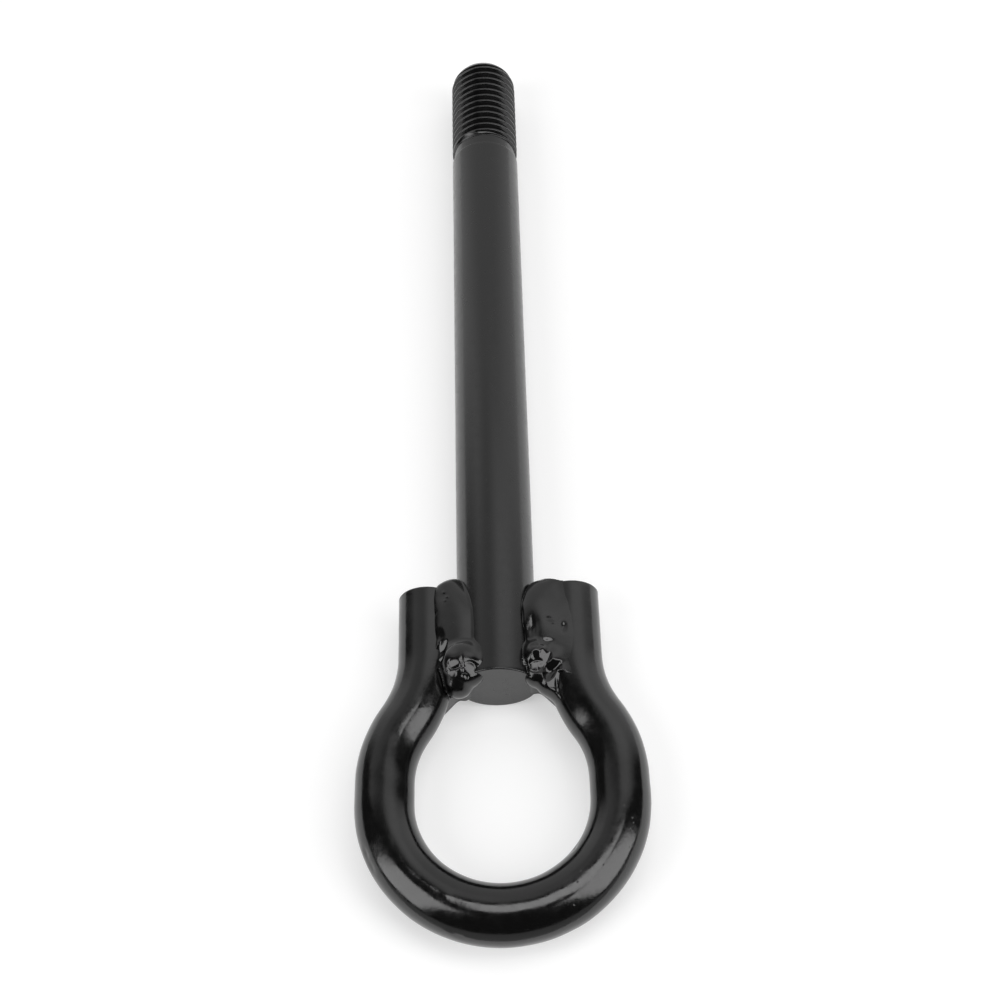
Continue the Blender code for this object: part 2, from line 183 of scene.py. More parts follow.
def make_shank():
    """Radius as a function of the place along the outline and the angle round the axis."""
    outline = shank_outline()
    angle = np.arange(SHANK_AROUND) / SHANK_AROUND * 2 * math.pi
    y = np.broadcast_to(outline[:, :1], (len(outline), SHANK_AROUND))
    r = np.broadcast_to(outline[:, 1:], y.shape)
    threaded = (y > THREAD_Y - 0.05) & (y < TIP_Y)
    r = np.where(threaded, np.minimum(r, thread_radius(y, angle)), r)
    rings = np.stack([r * np.sin(angle), y, r * np.cos(angle)], axis=-1)
    drawn = (y > 1.0) & (y < SHOULDER_Y - 1.0)
    dip = np.where(drawn, DRAWN_DIP * (waves(rings, DRAWN_WAVE, seed=3) - 1), 0.0)
    rings[..., 0] += dip * np.sin(angle)
    rings[..., 2] += dip * np.cos(angle)
    return paint_piece("shank_paint", rings, [0, 0, 0], [0, TIP_Y, 0])


# The bent bar

BAR_R = 5.75
RING_R = 22.2
RING_STRAIGHT = 4.0
RING_SHIFT = 0.3
NECK_BEND_R = 24.8
LEG_END_Y = 20.5
LEG_STRAIGHT_Y = 5.8
LEG_X = {LEFT: 13.95, RIGHT: 15.05}
BAR_AROUND = 112
END_BREAK = 0.5
LINE_STEP = 0.7
# Unevenness that bending leaves: depth, wavelength and seed
BEND_WAVES = [(0.022, 7.0, 11), (0.03, 19.0, 12)]
# Knocks in the ring, or bumps where the depth is negative: place, reach and depth
EYE_KNOCKS = [
    ((-24.9, -34.2, 2.5), 0.8, 0.30),
    ((-23.8, -36.7, 2.3), 0.8, 0.25),
    ((13.2, -34.6, 2.3), 0.7, 0.25),
    ((-9.9, -43.8, 5.7), 0.8, -0.12),
    ((-9.6, -49.4, 1.9), 0.7, -0.10),
    ((-8.3, -49.9, 1.9), 0.6, 0.12),
]


def neck_bend(side):
    """Sweep of a neck bend, and its centre's place along y beyond the ring's upper centre."""
    across = LEG_X[side] - side * RING_SHIFT + NECK_BEND_R
    sweep = math.acos(across / (RING_R + NECK_BEND_R))
    return sweep, (RING_R + NECK_BEND_R) * math.sin(sweep)


RING_UPPER_Y = LEG_STRAIGHT_Y - neck_bend(RIGHT)[1]
RING_LOWER_Y = RING_UPPER_Y - RING_STRAIGHT


def arc_points(centre, radius, start, end):
    """Points about LINE_STEP apart along an arc, its end left out."""
    count = max(3, int(abs(end - start) * radius / LINE_STEP))
    angle = np.linspace(start, end, count, endpoint=False)
    return np.stack([centre[0] + radius * np.cos(angle), centre[1] + radius * np.sin(angle)], 1)


def half_eye(side):
    """Middle line of the bar from a leg's end to the ring's bottom: leg, neck bend, shoulder,
    a short straight and a quarter of the ring, laid out on the right and mirrored for the left."""
    sweep, rise = neck_bend(side)
    leg = LEG_X[side] - side * RING_SHIFT
    straight_y = np.linspace(LEG_END_Y, RING_UPPER_Y + rise, 20, endpoint=False)
    straight = np.stack([np.full(20, leg), straight_y], axis=1)
    bend_centre = (leg + NECK_BEND_R, RING_UPPER_Y + rise)
    bend = arc_points(bend_centre, NECK_BEND_R, math.pi, math.pi + sweep)
    shoulder = arc_points((0, RING_UPPER_Y), RING_R, sweep, 0)
    side_y = np.linspace(RING_UPPER_Y, RING_LOWER_Y, 6, endpoint=False)
    side_line = np.stack([np.full(6, RING_R), side_y], axis=1)
    bottom = arc_points((0, RING_LOWER_Y), RING_R, 0, -math.pi / 2)
    line = np.concatenate([straight, bend, shoulder, side_line, bottom])
    line[:, 0] = side * line[:, 0] + RING_SHIFT
    return line


def make_eye():
    """Round section carried along the middle line, pulled in to a broken edge at each end.

    Its skin then moves along its own normals, in and out by two sets of waves, and in or out
    at each knock by a bell-shaped amount.
    """
    lowest = np.array([[RING_SHIFT, RING_LOWER_Y - RING_R]])
    line = np.concatenate([half_eye(LEFT), lowest, half_eye(RIGHT)[::-1]])
    ahead = np.gradient(line, axis=0)
    ahead /= np.linalg.norm(ahead, axis=1)[:, None]
    outward = np.stack([-ahead[:, 1], ahead[:, 0]], axis=1)
    angle = np.arange(BAR_AROUND) / BAR_AROUND * 2 * math.pi
    sin, cos = np.sin(angle), np.cos(angle)

    def rings_at(middle, normal, radius):
        """Circles of the given radii, square to the middle line."""
        flat = middle[:, None, :] + normal[:, None, :] * (radius[:, None] * cos)[..., None]
        return np.concatenate([flat, (radius[:, None] * sin)[..., None]], axis=2)

    sag = np.linspace(0, math.pi / 2, 5)
    end_r = np.concatenate([[0.25, 0.5, 0.75], (BAR_R - END_BREAK + END_BREAK * np.sin(sag)) / BAR_R])
    end_in = np.concatenate([[0, 0, 0], END_BREAK * (1 - np.cos(sag))])
    end_rings = len(end_r)
    near = np.stack([np.full(end_rings, line[0, 0]), line[0, 1] - end_in], axis=1)
    far = np.stack([np.full(end_rings, line[-1, 0]), line[-1, 1] - end_in[::-1]], axis=1)
    body = slice(2, -2)
    middle = np.concatenate([near, line[body], far])
    near_normal, far_normal = (np.tile(outward[i], (end_rings, 1)) for i in (0, -1))
    normal = np.concatenate([near_normal, outward[body], far_normal])
    radius = BAR_R * np.concatenate([end_r, np.ones(len(line[body])), end_r[::-1]])
    rings = rings_at(middle, normal, radius)
    push = rings - np.concatenate([middle, np.zeros((len(middle), 1))], axis=1)[:, None, :]
    push /= np.maximum(np.linalg.norm(push, axis=-1), 1e-6)[..., None]
    uneven = sum(depth * (waves(rings, length, seed) - 1) for depth, length, seed in BEND_WAVES)
    for spot, reach, depth in EYE_KNOCKS:
        uneven = uneven - depth * np.exp(-((rings - np.array(spot)) ** 2).sum(axis=-1) / reach ** 2)
    rings = rings + push * np.where((radius >= BAR_R)[:, None], uneven, 0.0)[..., None]
    return paint_piece("eye_paint", rings, [*line[0], 0], [*line[-1], 0])


# The welds

BEAD_AROUND = 220
SKIN_UNDER_BAR = {"shank": 0.06, "leg": 0.13}
# The upper seams in degrees from the top of shank and leg, at four places along the bead
SEAM_Y = (2.0, 7.3, 14.9, 21.3)
SHANK_SEAM_ANGLE = {LEFT: (34, 35, 37, 55), RIGHT: (50, 46, 41, 62)}
LEG_SEAM_ANGLE = {LEFT: (22, 20, 17, 17), RIGHT: (34, 20, 24, 31)}
UPPER_RISE = 0.9
# Place of the bead's far end by the shank and by the leg
UPPER_END = {LEFT: (23.9, 20.7), RIGHT: (22.0, 21.6)}
UPPER_END_ROUND = 2.0
BEAD_FRONT_Y = {LEFT: 2.0, RIGHT: 0.6}
UPPER_BOTTOM_Z = -0.8
# The spine that rays start from: (x, z) along the bead, and its front end inside the lumps
SPINE_HOME = (8.0, 0.3)
SPINE_END = {LEFT: (6.9, 2.9, 3.2), RIGHT: (9.5, 2.2, 2.5)}
SPINE_SHORT_OF_END = 2.4
SPINE_RISE_LENGTH = 6
# Fillets at the bead's seams and at the lumps', and undercuts, by the shank and by the leg
SEAM_FILLET = {LEFT: (0.5, 0.1), RIGHT: (0.1, 2.2)}
LUMP_FILLET = {LEFT: (1.0, 0.6), RIGHT: (0.8, 2.0)}
UNDERCUT = {LEFT: (0.0, 0.35), RIGHT: (0.35, 0.0)}
UNDERCUT_WIDE = 0.35
UNDERCUT_RAGGED = 0.7
UNDERCUT_WAVE = 2.2
FRONT_ROUND = 5.0
LUMP_BLEND = 0.5
BEAD_BLEND = 0.7
FACET_EDGE = 0.1
LONGEST_FILLET = 2.0
FRONT_FAN, SPINE_RINGS, FAR_FAN = 70, 110, 36
WELD_RIPPLE = 0.02
WELD_RIPPLE_WAVE = 3.4


def smooth_least(a, b, width):
    """The smaller of two distances, with the corner between them filled over width."""
    close = np.clip(width - np.abs(a - b), 0, None) / width
    return np.minimum(a, b) - close ** 2 * width / 4


def past_leg(point, side):
    """Distance beyond the skin of the leg and neck, negative inside."""
    bend_y = RING_UPPER_Y + neck_bend(side)[1]
    bend_x = LEG_X[side] + NECK_BEND_R
    off_bend = NECK_BEND_R - np.hypot(point[..., 0] - bend_x, point[..., 1] - bend_y)
    off_line = np.where(point[..., 1] < bend_y, off_bend, point[..., 0] - LEG_X[side])
    tube = np.hypot(off_line, point[..., 2]) - BAR_R
    return np.maximum(tube, point[..., 1] - LEG_END_Y)


def past_shank(point):
    """Distance beyond the skin of the plain shank, negative inside."""
    return np.maximum(np.hypot(point[..., 0], point[..., 2]) - SHANK_R, -point[..., 1])


def past_lump(point, centre, half):
    """Distance beyond an ellipsoid, near its skin, negative inside."""
    scaled = (point - centre) / half
    far = np.linalg.norm(scaled, axis=-1)
    return far * (far - 1) / np.maximum(np.linalg.norm(scaled / half, axis=-1), 1e-6)


def past_facet(point, place, facing, bulge, reach, lean=0):
    """Distance beyond a nearly flat patch pressed into a lump, which lets go past its reach.

    Bulge radius and reach are given along the patch and across it. Along is up the hook,
    leaned over by an angle within the patch.
    """
    facing = np.array(facing) / np.linalg.norm(facing)
    up = np.array([0, 1.0, 0]) - facing[1] * facing
    up /= np.linalg.norm(up)
    turn = math.radians(lean)
    along = math.cos(turn) * up + math.sin(turn) * np.cross(facing, up)
    gap = point - place
    long, wide = gap @ along, gap @ np.cross(along, facing)
    bulged = gap @ facing + long ** 2 / (2 * bulge[0]) + wide ** 2 / (2 * bulge[1])
    beyond = np.clip(np.hypot(long / reach[0], wide / reach[1]) - 1, 0, None) * min(reach)
    return bulged - 2 * beyond ** 2


def past_bead(point, side):
    """Distance beyond a bead whose cuts are circles through its two seams.

    Its far end is a plane that slants from the shank's side to the leg's and is rounded off.
    """
    x, y, z = (point[..., i] for i in range(3))
    on_shank = np.radians(curve_through(SEAM_Y, SHANK_SEAM_ANGLE[side], y))
    on_leg = np.radians(curve_through(SEAM_Y, LEG_SEAM_ANGLE[side], y))
    x1, z1 = SHANK_R * np.sin(on_shank), SHANK_R * np.cos(on_shank)
    x2, z2 = bar_x(side, y) - BAR_R * np.sin(on_leg), BAR_R * np.cos(on_leg)
    half = np.hypot(x2 - x1, z2 - z1) / 2
    radius = (half ** 2 + UPPER_RISE ** 2) / (2 * UPPER_RISE)
    down = (radius - UPPER_RISE) / (2 * half)
    centre_x = (x1 + x2) / 2 + (z2 - z1) * down
    centre_z = (z1 + z2) / 2 - (x2 - x1) * down
    across = np.hypot(x - centre_x, z - centre_z) - radius
    by_shank, by_leg = UPPER_END[side]
    end = by_shank + (by_leg - by_shank) * np.clip((x - x1) / (x2 - x1), 0, 1)
    return -smooth_least(-across, end - y, UPPER_END_ROUND)


def bar_x(side, y):
    """Distance from the shank's axis to the bar's middle line at places along leg and neck."""
    drop = np.clip(RING_UPPER_Y + neck_bend(side)[1] - y, 0, None)
    return LEG_X[side] + NECK_BEND_R - np.sqrt(NECK_BEND_R ** 2 - drop ** 2)


def past_weld(point, side, lumps):
    """Distance beyond an upper weld: bead and lumps joined, with fillets on to both bars.

    The bars are drawn in a little, so that the weld's skin passes under theirs and stops
    some way inside them. Fillets run from the seams' widths to the lumps' where the lumps are.
    Facets are then pressed in and dents sunk or raised.
    """
    shank = past_shank(point) + SKIN_UNDER_BAR["shank"]
    leg = past_leg(point, side) + SKIN_UNDER_BAR["leg"]
    front = BEAD_FRONT_Y[side] - point[..., 1]
    bead = -smooth_least(-past_bead(point, side), -front, FRONT_ROUND)
    lump = past_lump(point, *lumps[0])
    for other in lumps[1:]:
        lump = smooth_least(lump, past_lump(point, *other), LUMP_BLEND)
    own = smooth_least(bead, lump, BEAD_BLEND)
    ragged = 1 + UNDERCUT_RAGGED * waves(point, UNDERCUT_WAVE, seed=61, count=6)
    for depth, gap in zip(UNDERCUT[side], (shank, leg)):
        own = own + depth * ragged * np.exp(-(gap / UNDERCUT_WIDE) ** 2)
    in_lump = ease(-1.0, 1.0, bead - lump)
    behind_foot = ease(0.0, 2.5, point[..., 1])
    on_shank, on_leg = (seam + (wide - seam) * in_lump
                        for seam, wide in zip(SEAM_FILLET[side], LUMP_FILLET[side]))
    skin = smooth_least(own, shank, 0.05 + on_shank * behind_foot)
    skin = smooth_least(skin, leg, on_leg)
    for facet in FACETS[side]:
        skin = -smooth_least(-skin, -past_facet(point, *facet), FACET_EDGE)
    for centre, half, depth in DENTS[side]:
        skin = skin + depth * np.exp(-(((point - centre) / half) ** 2).sum(axis=-1))
    return np.maximum(np.maximum(skin, own - LONGEST_FILLET), UPPER_BOTTOM_Z - point[..., 2])


def reach_of_rays(start, heading, past_skin, longest=12.0, step=0.2, halvings=14):
    """How far rays run from inside a solid to its skin: out in even steps to the first point
    outside, then by halving the last step."""
    near = np.zeros(heading.shape[:-1])
    inside = np.ones(near.shape, bool)
    for far in np.arange(step, longest, step):
        inside &= past_skin(start + heading * far) < 0
        near = np.where(inside, far, near)
    far = near + step
    for _ in range(halvings):
        middle = (near + far) / 2
        outside = past_skin(start + heading * middle[..., None]) > 0
        near, far = np.where(outside, near, middle), np.where(outside, middle, far)
    return near


def upper_bead(name, side, lumps, seed):
    """Weld between shank and leg on the side that shows.

    Its skin is where rays leave the solid. The rays fan out squarely from a spine along the
    valley, and turn towards the spine's own direction over each end, as on a capsule.
    """
    end_x, end_y, end_z = SPINE_END[side]
    home_x, home_z = SPINE_HOME
    far_y = min(UPPER_END[side]) - SPINE_SHORT_OF_END
    along = np.linspace(end_y, far_y, SPINE_RINGS)
    spine_y = np.concatenate([np.full(FRONT_FAN, end_y), along, np.full(FAR_FAN, far_y)])
    front_tilt, far_tilt = np.linspace(-89, -1, FRONT_FAN), np.linspace(2, 89, FAR_FAN)
    tilt = np.radians(np.concatenate([front_tilt, np.zeros(SPINE_RINGS), far_tilt]))
    share = 1 - ease(end_y, end_y + SPINE_RISE_LENGTH, spine_y)
    spine = np.stack([home_x + (end_x - home_x) * share, spine_y, home_z + (end_z - home_z) * share],
                     axis=-1)
    angle = np.arange(BEAD_AROUND) / BEAD_AROUND * 2 * math.pi
    square = np.stack([np.cos(angle), np.zeros(BEAD_AROUND), np.sin(angle)], axis=-1)
    heading = np.cos(tilt)[:, None, None] * square + np.sin(tilt)[:, None, None] * np.array([0, 1.0, 0])
    ends = np.array([[[0, -1.0, 0]], [[0, 1.0, 0]]])
    start = spine[:, None, :]
    reach = reach_of_rays(start, heading, lambda point: past_weld(point, side, lumps))
    tip = reach_of_rays(spine[[0, -1]][:, None, :], ends, lambda point: past_weld(point, side, lumps))
    rings = start + heading * reach[..., None]
    rings = rings + heading * (WELD_RIPPLE * waves(rings, WELD_RIPPLE_WAVE, seed))[..., None]
    poles = spine[[0, -1]] + ends[:, 0] * tip
    mirror = np.array([side, 1, 1])
    return paint_piece(name, rings * mirror, *(poles * mirror))


# Lumps of weld metal, all on the right as drawn: middle and half sizes. The left weld has the
# round blob and the run of metal below it.
LEFT_LUMPS = [
    ((6.45, 3.1, 4.1), (4.85, 5.0, 4.45)),
    ((7.6, 0.6, 2.5), (3.3, 3.5, 3.7)),
]
RIGHT_LUMPS = [
    ((7.7, 4.2, 4.2), (2.9, 3.6, 3.3)),
    ((10.6, 3.2, 3.3), (2.7, 3.6, 3.0)),
    ((10.8, 0.1, 2.2), (3.6, 3.4, 3.6)),
    ((7.9, 1.2, 3.1), (2.9, 2.9, 3.2)),
]

# Flat patches where the weld metal shrank as it set: place, facing, bulge radii, reaches, lean
FACETS = {
    LEFT: [
        ((8.0, 1.75, 8.0), (0.377, -0.45, 0.81), (5.0, 5.0), (1.1, 1.1)),
        ((5.1, 0.45, 7.45), (-0.44, -0.40, 0.80), (5.5, 5.5), (1.3, 1.3)),
        ((8.5, -0.1, 6.9), (0.37, -0.50, 0.78), (4.0, 4.0), (0.7, 0.7)),
        ((6.3, -1.0, 6.5), (-0.30, -0.52, 0.80), (4.0, 4.0), (0.6, 0.6)),
        ((11.1, 4.9, 5.5), (0.37, -0.47, 0.80), (9.0, 4.0), (1.5, 0.8), 35),
        ((10.3, 7.0, 5.95), (0.37, -0.47, 0.80), (9.0, 4.0), (1.3, 0.6), 35),
    ],
    RIGHT: [
        ((9.4, 3.3, 6.45), (0.41, -0.43, 0.80), (12.0, 3.5), (1.9, 0.75), -15),
        ((10.8, -0.9, 4.8), (0.41, -0.42, 0.81), (14.0, 12.0), (1.6, 1.9), -20),
        ((12.4, -2.0, 3.6), (0.41, -0.42, 0.81), (10.0, 6.0), (1.2, 0.8), -20),
        ((11.2, 2.3, 6.0), (0.1, -0.72, 0.69), (8.0, 6.0), (1.8, 1.0), -25),
        ((8.0, 3.3, 7.0), (0.0, -0.62, 0.79), (6.0, 4.0), (0.8, 0.6), -20),
        ((7.9, 1.3, 6.0), (0.08, -0.25, 0.96), (6.0, 6.0), (1.0, 1.5), 10),
    ],
}
# Creases and craters, or spatter where the depth is negative: middle, half widths and depth
DENTS = {
    LEFT: [
        ((7.9, 0.75, 7.7), (1.6, 0.22, 1.5), 0.25),
        ((6.5, 1.0, 8.0), (0.25, 1.6, 1.5), 0.25),
        ((10.9, 8.5, 6.1), (0.9, 1.5, 1.5), 0.3),
        ((12.0, 14.2, 5.4), (0.35, 0.4, 0.8), 0.25),
        ((10.0, 18.4, 6.4), (0.28, 0.28, 0.8), -0.14),
        ((9.4, 17.2, 6.6), (0.28, 0.28, 0.8), -0.12),
        ((9.8, 16.4, 6.5), (0.22, 0.22, 0.8), -0.10),
    ],
    RIGHT: [
        ((7.3, 9.5, 6.3), (0.85, 2.5, 1.5), 0.45),
        ((7.8, 5.2, 7.1), (0.9, 0.45, 1.5), 0.25),
        ((8.9, 5.8, 7.1), (0.9, 0.45, 1.5), 0.25),
        ((10.0, 6.5, 6.8), (0.9, 0.45, 1.5), 0.25),
        ((11.5, -1.6, 4.3), (0.3, 1.2, 1.5), 0.15),
        ((13.4, 9.8, 5.9), (0.4, 0.9, 1.0), 0.3),
        ((10.6, 11.4, 6.3), (0.6, 0.5, 1.0), 0.12),
        ((11.3, 10.6, 6.2), (0.35, 0.3, 0.8), -0.08),
    ],
}

# The lower seams in degrees from the bottom of shank and leg
LOWER_SHANK_ANGLE = 45
LOWER_LEG_ANGLE = 35
LOWER_HOLLOW = 0.5
LOWER_END_Y = 21.6
LOWER_TOP_Z = -0.2
# The web: its top under the lumps and its front edge, its front place, and the lift of its
# under side
WEB_TOP_Z = 3.4
WEB_EDGE_Z = 0.4
WEB_BOTTOM_ROUND = 1.6
WEB_FRONT_Y = {LEFT: -0.75, RIGHT: -0.2}
WEB_LIFT = {LEFT: 0.0, RIGHT: 0.9}
WEB_FLARE = 4.6
WEB_SHANK_BACK = 0.9
WEB_BACK_Y = 4.5
WEB_STEP_LENGTH = 1.5
WEB_LIFT_LENGTH = 6.0
LOWER_INTO_BAR = 0.6
LOWER_ACROSS, LOWER_ROUND_STEPS, LOWER_SIDE_STEPS = 80, 14, 60


def lower_bead(name, side, seed):
    """Hollow bead under the bars, whose front end is a web that closes the valley.

    Cuts along the hook are carried across from the shank to the leg. Each is a closed loop
    of four stretches: the underside from far end to front, the web's front face up to its
    edge, the slope back to behind the lumps, and the top of the bead to its far end.
    """
    share = np.linspace(0, 1, LOWER_ACROSS)[:, None]
    x1 = SHANK_R * math.sin(math.radians(LOWER_SHANK_ANGLE)) - LOWER_INTO_BAR
    z1 = SHANK_R * math.cos(math.radians(LOWER_SHANK_ANGLE))
    z2 = BAR_R * math.cos(math.radians(LOWER_LEG_ANGLE))
    bottom = -(z1 + (z2 - z1) * share - LOWER_HOLLOW * 4 * share * (1 - share))
    front = WEB_FRONT_Y[side] + WEB_SHANK_BACK * (1 - ease(0, 0.25, share))
    front = front - WEB_FLARE * ease(0.34, 0.9, share)
    quarter = np.linspace(0, math.pi / 2, LOWER_ROUND_STEPS)[None, :]
    along = np.linspace(0, 1, LOWER_SIDE_STEPS)[None, :]
    r = WEB_BOTTOM_ROUND
    far_y = LOWER_END_Y - r + r * np.sin(quarter)[:, ::-1] + 0 * share
    far_z = bottom + r - r * np.cos(quarter)[:, ::-1]
    under_y = LOWER_END_Y - r + (front + r - LOWER_END_Y + r) * along
    under_z = bottom + 0 * along
    under_z = under_z + WEB_LIFT[side] * ease(WEB_LIFT_LENGTH, 0.0, under_y) * (1 - 0.6 * share)
    bottom = under_z[:, -1:]
    turn_y = front + r - r * np.sin(quarter)
    turn_z = bottom + r - r * np.cos(quarter)
    rise_y = front + 0 * along
    rise_z = bottom + r + (WEB_EDGE_Z - bottom - r) * along
    back_y = front + (WEB_BACK_Y - front) * along
    back_z = WEB_EDGE_Z + (WEB_TOP_Z - WEB_EDGE_Z) * along + 0 * back_y
    top_y = WEB_BACK_Y + (LOWER_END_Y - WEB_BACK_Y) * along + 0 * share
    step_down = 1 - ease(WEB_BACK_Y, WEB_BACK_Y + WEB_STEP_LENGTH, top_y)
    top_z = LOWER_TOP_Z + (WEB_TOP_Z - LOWER_TOP_Z) * step_down
    y = np.concatenate([far_y, under_y, turn_y, rise_y, back_y, top_y], axis=1)
    z = np.concatenate([far_z, under_z, turn_z, rise_z, back_z, top_z], axis=1)
    x2 = bar_x(side, y) - BAR_R * math.sin(math.radians(LOWER_LEG_ANGLE)) + LOWER_INTO_BAR
    rings = np.stack([side * (x1 + (x2 - x1) * share), y, z], axis=-1)
    rings[..., 2] += WELD_RIPPLE * waves(rings, WELD_RIPPLE_WAVE, seed)
    return paint_piece(name, rings, rings[0].mean(axis=0), rings[-1].mean(axis=0))


# Paint

GRAIN_MM = 0.8
SMUDGE_MM = 2.2
NIB_SPACING_MM = 4.2
NIB_RADIUS_MM = 0.21
NIB_HEIGHT_MM = 0.04
# Single nibs, or pits where the height is negative: place, radius and height
RING_MARKS = [
    ((-15.78, -39.47, 5.74), 0.22, 0.10),
    ((24.18, -30.18, 5.14), 0.22, 0.10),
    ((24.3, -31.07, 4.93), 0.16, 0.07),
    ((23.67, -32.25, 5.06), 0.25, 0.12),
    ((12.41, -39.91, 5.44), 0.16, 0.07),
    ((14.19, -40.09, 5.72), 0.20, 0.10),
    ((13.56, -42.11, 5.72), 0.25, -0.07),
    ((18.37, -39.06, 5.52), 0.18, -0.06),
    ((-7.19, -45.16, 5.71), 0.16, -0.05),
    ((-6.4, -45.4, 5.7), 0.12, -0.04),
    ((12.83, -45.92, 4.63), 0.25, -0.08),
]
SHANK_MARKS = [
    ((5.44, 13.6, 5.73), 0.20, 0.07),
    ((3.11, 12.84, 7.26), 0.15, 0.05),
    ((-1.01, 44.13, 7.83), 0.20, -0.05),
    ((-6.9, 46.57, 3.9), 0.25, -0.06),
]


def srgb(code):
    """Linear colour from an sRGB hex code."""
    parts = [int(code[i:i + 2], 16) / 255 for i in (1, 3, 5)]
    return [c / 12.92 if c <= 0.04045 else ((c + 0.055) / 1.055) ** 2.4 for c in parts] + [1.0]


def add_node(tree, kind, inputs=(), **settings):
    """Add a node, set its properties, and set or link its inputs by name or number."""
    node = tree.nodes.new(kind)
    for key, value in settings.items():
        setattr(node, key, value)
    for key, value in dict(inputs).items():
        if isinstance(value, bpy.types.NodeSocket):
            tree.links.new(value, node.inputs[key])
        else:
            node.inputs[key].default_value = value
    return node


def stoving_paint(name, peel_mm, peel_depth, grain_depth, roughness, marks=()):
    """Gloss black stoving enamel, dipped or sprayed over bare steel and baked.

    It gives reflections that waver and blur unevenly: orange peel a millimetre or two across
    with a finer grain in it, smudges from handling, and dust nibs caught in the film. Marks
    add single nibs and pits to those.
    """
    material = bpy.data.materials.new(name)
    material.use_nodes = True
    tree = material.node_tree
    tree.nodes.clear()
    place = add_node(tree, "ShaderNodeTexCoord").outputs["Object"]
    peel = add_node(tree, "ShaderNodeTexNoise",
                    {"Vector": place, "Scale": 1 / (peel_mm * MM), "Detail": 2.0, "Roughness": 0.5})
    grain = add_node(tree, "ShaderNodeTexNoise",
                     {"Vector": place, "Scale": 1 / (GRAIN_MM * MM), "Detail": 3.0, "Roughness": 0.6})
    smudge = add_node(tree, "ShaderNodeTexNoise",
                      {"Vector": place, "Scale": 1 / (SMUDGE_MM * MM), "Detail": 5.0, "Roughness": 0.7})
    blur = add_node(tree, "ShaderNodeMapRange",
                    {"Value": smudge.outputs["Fac"], "From Min": 0.35, "From Max": 0.7,
                     "To Min": 0.8 * roughness, "To Max": 1.8 * roughness})
    nibs = add_node(tree, "ShaderNodeTexVoronoi",
                    {"Vector": place, "Scale": 1 / (NIB_SPACING_MM * MM), "Randomness": 1.0})
    nib = add_node(tree, "ShaderNodeMapRange",
                   {"Value": nibs.outputs["Distance"], "From Min": NIB_RADIUS_MM / NIB_SPACING_MM,
                    "From Max": 0.0, "To Min": 0.0, "To Max": 1.0}, interpolation_type="SMOOTHSTEP")
    peel_bump = add_node(tree, "ShaderNodeBump",
                         {"Height": peel.outputs["Fac"], "Strength": 1.0, "Distance": peel_depth * MM})
    grain_bump = add_node(tree, "ShaderNodeBump",
                          {"Height": grain.outputs["Fac"], "Strength": 1.0, "Distance": grain_depth * MM,
                           "Normal": peel_bump.outputs["Normal"]})
    height = add_node(tree, "ShaderNodeMath", {0: nib.outputs["Result"], 1: NIB_HEIGHT_MM},
                      operation="MULTIPLY").outputs[0]
    for spot, radius, tall in marks:
        middle = (np.array(spot) + FOOT_IN_ROW) * MM
        gap = add_node(tree, "ShaderNodeVectorMath", {0: place, 1: middle.tolist()}, operation="DISTANCE")
        rise = add_node(tree, "ShaderNodeMapRange",
                        {"Value": gap.outputs["Value"], "From Min": radius * MM, "From Max": 0.0,
                         "To Min": 0.0, "To Max": tall}, interpolation_type="SMOOTHSTEP")
        height = add_node(tree, "ShaderNodeMath", {0: height, 1: rise.outputs["Result"]}).outputs[0]
    nib_bump = add_node(tree, "ShaderNodeBump",
                        {"Height": height, "Strength": 1.0, "Distance": 1.0 * MM,
                         "Normal": grain_bump.outputs["Normal"]})
    shader = add_node(tree, "ShaderNodeBsdfPrincipled",
                      {"Base Color": srgb("#070707"), "Roughness": blur.outputs["Result"], "IOR": 1.6,
                       "Normal": nib_bump.outputs["Normal"]})
    add_node(tree, "ShaderNodeOutputMaterial", {"Surface": shader.outputs["BSDF"]})
    return material


# Studio, in metres in the row frame

TABLE_HALF = 2
ROOM_TOP = 2.2
BACKDROP_Y = 0.24
BACKDROP_EDGE = 0.62
BACKDROP_TOP = 0.92
RUNNER_Y = -0.125
RUNNER_THICK = 0.0005
TABLE_LIT_WITHIN = 0.18
TABLE_WHITE_BEYOND = 0.45
ROOM_GREY = "#3c3c3c"
# Name, centre, what it faces, width and height, and radiance of each softbox
SOFTBOXES = [
    ("left_softbox", (-0.56, -0.33, 0.46), (0.0, -0.08, 0.14), (0.46, 0.80), 3.0),
    ("right_softbox", (0.56, -0.28, 0.46), (0.0, -0.08, 0.14), (0.46, 0.80), 3.0),
    ("top_softbox", (0.10, -0.06, 0.62), (0.10, -0.06, 0.0), (0.42, 0.26), 3.3),
]
CAMERA_PLACE = (0.010118, -0.206604, 0.292849)
CAMERA_TURN = (33.8167, 2.8233, -1.2057)
CAMERA_LENS = 59.049


def softbox(name, centre, aim, size, radiance):
    """Rectangular area lamp that faces a point, with power = radiance x pi x area."""
    data = bpy.data.lights.new(name, "AREA")
    data.shape = "RECTANGLE"
    data.size, data.size_y = size
    data.energy = radiance * math.pi * size[0] * size[1]
    lamp = bpy.data.objects.new(name, data)
    bpy.context.scene.collection.objects.link(lamp)
    away = np.array(centre) - np.array(aim)
    back = away / np.linalg.norm(away)
    side = np.cross([0, 0, 1], back)
    side = side / np.linalg.norm(side) if np.linalg.norm(side) > 1e-6 else np.array([1.0, 0, 0])
    up = np.cross(back, side)
    matrix = np.eye(4)
    matrix[:3, 0], matrix[:3, 1], matrix[:3, 2], matrix[:3, 3] = side, up, back, centre
    lamp.matrix_world = matrix.T.tolist()
    lamp.visible_camera = False
    return lamp


